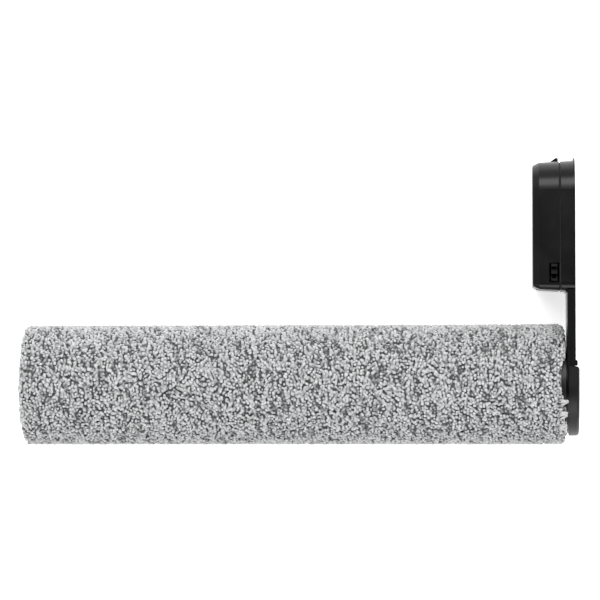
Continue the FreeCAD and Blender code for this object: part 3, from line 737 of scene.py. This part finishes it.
class BRUSH_OT_hardware(bpy.types.Operator):
    """Finish the axle, bearing, screws, springs and the plugs in the roller"""

    bl_idname = "brush.hardware"
    bl_label = "Finish Hardware"

    def execute(self, context):
        tones = context.scene.brush_finishes
        turned = bright_steel("turned_steel", (0.60, 0.60, 0.61), 0.28, (6.0, 0.4, 0.4))
        wear(turned, ["axle", "inner_race", "outer_race", "shield_left", "shield_right"])
        ground = bright_steel("ground_steel", (0.66, 0.66, 0.67), 0.10, line_size=0.6 * MM)
        wear(ground, [name for name in NODES if name.startswith("ball_")])
        sprung = bright_steel("spring_steel", (0.50, 0.50, 0.52), 0.32, (0.5, 3.0, 3.0))
        rings = ["retaining_ring", "axle_circlip", "axle_washer"]
        wear(sprung, rings + ["guide_strap_1", "guide_strap_2", *SPRINGS])
        plated = bright_steel("zinc_plate", (0.55, 0.55, 0.53), 0.36, (3.0, 1.0, 1.0))
        wear(plated, [name for name in NODES if "screw" in name])
        plug = moulded("plug_plastic", (0.018, 0.018, 0.019), 0.45, 0.3 * MM, 0.02 * MM)
        wear(plug, ["drive_end_cap", "bearing_carrier"])
        wear(moulded("ring_plastic", tones.ring, 0.33, 0.25 * MM, 0.006 * MM), ["end_ring"])
        tube = moulded("tube_plastic", (0.16, 0.16, 0.165), 0.4, 0.5 * MM, 0.01 * MM)
        wear(tube, ["core_tube"])
        pale = moulded("socket_plastic", (0.50, 0.49, 0.45), 0.38, 0.3 * MM, 0.01 * MM)
        wear(pale, ["drive_insert", "thrust_washer", "bearing_cage"])
        wear(moulded_rubber("seal_rubber", (0.010, 0.010, 0.010, 1.0)), ["lip_seal"])
        wear(woven_backing("backing_weave", (0.20, 0.205, 0.21)), ["backing_cloth"])
        return {"FINISHED"}


class BRUSH_OT_springs(bpy.types.Operator):
    """Copy the release's two springs, with shared corners, onto the bracket in place of the CAD
    springs
    """

    bl_idname = "brush.springs"
    bl_label = "Free Springs"

    def execute(self, context):
        for node, name in SPRINGS.items():
            spring = merged_copy(NODES[node], f"{node}_coil")
            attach(spring, "bracket")
            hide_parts(node)
            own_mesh(spring)
        return {"FINISHED"}


class BRUSH_OT_nap_ground(bpy.types.Operator):
    """Model the dense ground of the nap, painted dark as the shade between the tufts"""

    bl_idname = "brush.nap_ground"
    bl_label = "Model Nap Ground"

    def execute(self, context):
        nap = context.scene.brush_nap
        outer = NAP_RADIUS - GROUND_DEPTH
        start = NAP_START + GROUND_START
        stop = NAP_END - GROUND_STOP
        deselect()
        bpy.ops.mesh.primitive_cylinder_add(
            vertices=128,
            radius=outer,
            depth=stop - start,
            end_fill_type="NOTHING",
            location=((start + stop) / 2, 0, 0),
            rotation=(0, math.pi / 2, 0),
        )
        ground = bpy.context.object
        ground.name = "nap_ground"
        settle(ground)
        wall = outer - CLOTH_RADIUS - 0.1 * MM
        apply_modifier(ground, "SOLIDIFY", "Wall", {"thickness": wall, "offset": -1.0})
        settings = {"width": 0.8 * MM, "segments": 3, "limit_method": "ANGLE"}
        apply_modifier(ground, "BEVEL", "Round", settings)
        ground.data.shade_smooth()
        # Painted shade: the ground takes the tips' colour darkened to a third
        pale = shade_of(nap.light, 0.35)
        finish_nap_piece(ground, matted_fibre("nap_ground_fibre", pale, shade_of(nap.dark, 1.0)))
        return {"FINISHED"}


class BRUSH_OT_nap(bpy.types.Operator):
    """Model a few tufts and plant them all over the roller"""

    bl_idname = "brush.nap"
    bl_label = "Plant Nap"

    def execute(self, context):
        nap = context.scene.brush_nap
        chance = random.Random(nap.seed)
        tufts = nap_tufts(nap.width)
        material = microfibre("nap_fibre", nap.light, shade_of(nap.dark, 1.0))
        plantings = [Planting() for _ in range(nap.bands)]
        rows = round((NAP_END - NAP_START) / (nap.pitch * ROW_PACKING))
        step = (NAP_END - NAP_START) / rows
        columns = round(2 * math.pi * NAP_RADIUS / nap.pitch)
        for row in range(rows):
            band = plantings[min(row * nap.bands // rows, nap.bands - 1)]
            for column in range(columns):
                x = NAP_START + (row + 0.5 + chance.uniform(-TUFT_STRAY, TUFT_STRAY)) * step
                place = column + 0.5 * (row % 2) + chance.uniform(-TUFT_STRAY, TUFT_STRAY)
                angle = 2 * math.pi * (place / columns)
                plant_radially(band, tufts, x, angle, nap.unevenness, chance)
        for index, planting in enumerate(plantings):
            name = f"nap_band_{index + 1}"
            new_piece(name, planting.mesh(name), material)
        return {"FINISHED"}


class BRUSH_OT_nap_ends(bpy.types.Operator):
    """Plant the nap's cut ends, and the loose wisps beside the bracket"""

    bl_idname = "brush.nap_ends"
    bl_label = "Plant Nap Ends"

    def execute(self, context):
        nap = context.scene.brush_nap
        chance = random.Random(nap.seed + 1)
        tufts = nap_tufts(nap.width)
        # Painted light: the end tufts' roots are made twice as light, against the shade beside the
        # bracket
        material = microfibre("nap_end_fibre", nap.light, shade_of(nap.dark, 2.0))
        for name, outward in (("nap_cut_drive_end", -1), ("nap_cut_bracket_end", 1)):
            planting = Planting()
            plant_end(planting, tufts, outward, nap.pitch, chance)
            new_piece(name, planting.mesh(name), material)
        planting = Planting()
        plant_wisps(planting, nap.width, chance)
        new_piece("nap_wisps", planting.mesh("nap_wisps"), material)
        return {"FINISHED"}


class BRUSH_OT_stage(bpy.types.Operator):
    """Lay the floor, hang the softboxes and set the camera"""

    bl_idname = "brush.stage"
    bl_label = "Set Stage"

    def execute(self, context):
        stage = context.scene.brush_stage
        deselect()
        middle = (CAD_BOX[0] + CAD_BOX[1]) / 2
        place = (middle.x, middle.y, FLOOR_LEVEL)
        bpy.ops.mesh.primitive_plane_add(size=FLOOR_SIZE, location=place)
        floor = bpy.context.object
        floor.name = "studio_floor"
        settle(floor)
        floor.data.materials.append(painted_floor("floor_paint", stage.floor))
        softbox("far_softbox", FAR_LAMP, stage.far_lamp, middle)
        softbox("near_softbox", NEAR_LAMP, stage.near_lamp, middle)
        make_world(context.scene)
        make_camera(context.scene, stage)
        context.scene.view_settings.view_transform = "Standard"
        return {"FINISHED"}


class BRUSH_PT_panel(bpy.types.Panel):
    """Lists the steps that dress the roller brush"""

    bl_label = "Roller Brush"
    bl_idname = "BRUSH_PT_panel"
    bl_space_type = "VIEW_3D"
    bl_region_type = "UI"
    bl_category = "Roller Brush"

    def draw(self, context):
        for operator in STEPS:
            self.layout.operator(operator.bl_idname)
        scene = context.scene
        for group in (scene.brush_finishes, scene.brush_nap, scene.brush_stage):
            box = self.layout.box()
            for key in group.bl_rna.properties.keys():
                if key not in ("rna_type", "name"):
                    box.prop(group, key)


# ---------------------------------------------------------------------------------------------
# Planting
# ---------------------------------------------------------------------------------------------


def nap_tufts(width):
    """A few tufts that differ in length and in how far they bend over."""
    return [model_tuft(length * MM, width, math.radians(bend)) for length, bend in TUFT_SHAPES]


def plant_radially(planting, tufts, x, angle, uneven, chance):
    """Plants one tuft on the roller's round side."""
    up = Vector((0, math.sin(angle), math.cos(angle)))
    y, z = up.y * NAP_RADIUS, up.z * NAP_RADIUS
    if x > end_of_nap(y, z) or x < NAP_START + 1.0 * MM:
        return
    height = NAP_RADIUS - nap_height(x, y, z, uneven, chance)
    heading = swirl(x, y, z, chance)
    around = Vector((0, up.z, -up.y))
    lean = Vector((math.cos(heading), 0, 0)) + around * math.sin(heading)
    edge = min((x - NAP_START) / (2.2 * MM), (end_of_nap(y, z) - x) / (1.5 * MM), 1.0)
    if edge < 1.0:
        lean = around * math.copysign(1.0, math.sin(heading)) + lean * max(edge, 0.0)
    thick = chance.uniform(0.75, 1.25)
    scale = (thick, thick, chance.uniform(0.9, 1.1))
    top = Vector((x, up.y * height, up.z * height))
    tuft = chance.choice(tufts)
    # Painted shade for tufts that stand low, and painted light near the nap's two ends
    sunk = NAP_RADIUS + NAP_RAISE - height + (1.0 - max(edge, 0.0)) * END_LIGHT
    planting.plant(tuft, top, up, lean.normalized(), scale, chance.random(), sunk)


def plant_end(planting, tufts, outward, pitch, chance):
    """Plants the ring of tufts that faces out at one end of the nap."""
    radius = CLOTH_RADIUS + 1.2 * MM
    while radius < NAP_RADIUS - 1.5 * MM:
        columns = round(2 * math.pi * radius / pitch)
        for column in range(columns):
            angle = 2 * math.pi * (column + chance.uniform(-END_STRAY, END_STRAY)) / columns
            out = Vector((0, math.sin(angle), math.cos(angle)))
            place = radius + chance.uniform(-END_STRAY, END_STRAY) * MM
            y, z = out.y * place, out.z * place
            limit = NAP_START + 0.1 * MM if outward < 0 else end_of_nap(y, z) - 0.3 * MM
            x = limit - outward * chance.uniform(0.1, 0.5) * MM
            up = Vector((outward, 0, 0)) + out * chance.uniform(0.1, 0.4)
            lean = out + out.cross(Vector((1, 0, 0))) * chance.uniform(-0.8, 0.8)
            thick = chance.uniform(0.85, 1.15)
            tuft = chance.choice(tufts[:3])
            top = Vector((x, y, z))
            scale = (thick, thick, thick)
            # END_LIGHT paints these tufts lighter at their roots
            planting.plant(tuft, top, up.normalized(), lean, scale, chance.random(), END_LIGHT)
        radius += pitch * ROW_PACKING


def plant_wisps(planting, width, chance):
    """Plants thin loose wisps that reach over the gap beside the bracket."""
    wisp = model_tuft(WISP_LENGTH, width * 0.5, math.radians(WISP_BEND))
    for _ in range(WISP_COUNT):
        angle = chance.uniform(-math.pi, math.pi)
        out = Vector((0, math.sin(angle), math.cos(angle)))
        radius = NAP_RADIUS - chance.uniform(1.3, 3.2) * MM
        y, z = out.y * radius, out.z * radius
        x = min(end_of_nap(y, z) + chance.uniform(0.0, 0.5) * MM, NAP_END + 0.25 * MM)
        up = Vector((1, 0, 0)) + out * chance.uniform(0.0, 0.35)
        up += out.cross(Vector((1, 0, 0))) * chance.uniform(-1.0, 1.0)
        size = chance.uniform(0.8, 1.25)
        top = Vector((x, y, z))
        scale = (size, size, 1.0)
        # END_LIGHT paints the wisps lighter at their roots
        planting.plant(wisp, top, up.normalized(), -out, scale, chance.random(), END_LIGHT)
    for y, reach in LOOSE_LOCKS:
        for _ in range(LOCK_STRANDS):
            angle = math.asin(y / NAP_RADIUS) + chance.uniform(-0.035, 0.035)
            out = Vector((0, math.sin(angle), math.cos(angle)))
            radius = NAP_RADIUS - chance.uniform(0.0, 1.4) * MM
            top = Vector((NAP_END + reach * chance.uniform(0.2, 1.0), 0, 0)) + out * radius
            up = Vector((1, 0, 0)) + out * 0.15
            up += out.cross(Vector((1, 0, 0))) * chance.uniform(-0.5, 0.5)
            scale = (1.3, 1.3, 1.0)
            tone = chance.uniform(0.6, 1.0)
            # END_LIGHT paints the locks lighter at their roots
            planting.plant(wisp, top, up.normalized(), -out, scale, tone, END_LIGHT)


# ---------------------------------------------------------------------------------------------
# Stage
# ---------------------------------------------------------------------------------------------


def softbox(name, box, power, target):
    """Hangs a large rectangular lamp that faces the brush."""
    place = Vector((target.x, box["y"], box["z"]))
    data = bpy.data.lights.new(name, "AREA")
    data.shape = "RECTANGLE"
    data.size = LAMP_WIDTH
    data.size_y = box["depth"]
    data.energy = power
    lamp = bpy.data.objects.new(name, data)
    bpy.context.scene.collection.objects.link(lamp)
    lamp.location = place
    lamp.rotation_euler = (target - place).to_track_quat("-Z", "Y").to_euler()


def make_world(scene):
    """Studio walls: dim overhead and pale towards the horizon."""
    world = bpy.data.worlds.new("studio_walls")
    scene.world = world
    world.use_nodes = True
    tree = world.node_tree
    tree.nodes.clear()
    where = tree.nodes.new("ShaderNodeTexCoord")
    split = tree.nodes.new("ShaderNodeSeparateXYZ")
    ramp = tree.nodes.new("ShaderNodeValToRGB")
    walls = tree.nodes.new("ShaderNodeBackground")
    out = tree.nodes.new("ShaderNodeOutputWorld")
    ramp.color_ramp.elements[0].position = 0.30
    ramp.color_ramp.elements[0].color = (0.92, 0.92, 0.92, 1.0)
    ramp.color_ramp.elements[1].position = 0.82
    ramp.color_ramp.elements[1].color = (0.06, 0.06, 0.06, 1.0)
    tree.links.new(where.outputs["Object"], split.inputs[0])
    tree.links.new(split.outputs["Z"], ramp.inputs[0])
    tree.links.new(ramp.outputs[0], walls.inputs["Color"])
    tree.links.new(walls.outputs[0], out.inputs["Surface"])


def make_camera(scene, stage):
    """Long lens that looks straight down on the lying brush, from a little towards the bracket."""
    data = bpy.data.cameras.new("studio_camera")
    data.lens = stage.lens
    data.sensor_width = SENSOR_WIDTH
    data.clip_end = 20.0
    camera = bpy.data.objects.new("studio_camera", data)
    scene.collection.objects.link(camera)
    camera.location = (CAMERA_X, CAMERA_Y, stage.distance)
    camera.rotation_mode = "ZXY"
    camera.rotation_euler = CAMERA_TURN
    scene.camera = camera


GROUPS = (BrushFinishes, BrushNap, BrushStage)
STEPS = (
    BRUSH_OT_bracket,
    BRUSH_OT_hardware,
    BRUSH_OT_springs,
    BRUSH_OT_nap_ground,
    BRUSH_OT_nap,
    BRUSH_OT_nap_ends,
    BRUSH_OT_stage,
)


def register():
    for cls in (*GROUPS, *STEPS, BRUSH_PT_panel):
        bpy.utils.register_class(cls)
    bpy.types.Scene.brush_finishes = bpy.props.PointerProperty(type=BrushFinishes)
    bpy.types.Scene.brush_nap = bpy.props.PointerProperty(type=BrushNap)
    bpy.types.Scene.brush_stage = bpy.props.PointerProperty(type=BrushStage)


def unregister():
    del bpy.types.Scene.brush_stage
    del bpy.types.Scene.brush_nap
    del bpy.types.Scene.brush_finishes
    for cls in reversed((*GROUPS, *STEPS, BRUSH_PT_panel)):
        bpy.utils.unregister_class(cls)


def main():
    """Builds the visual model."""
    register()
    bpy.ops.brush.bracket()
    bpy.ops.brush.hardware()
    bpy.ops.brush.springs()
    bpy.ops.brush.nap_ground()
    bpy.ops.brush.nap()
    bpy.ops.brush.nap_ends()
    bpy.ops.brush.stage()


if __name__ == "__main__":
    main()
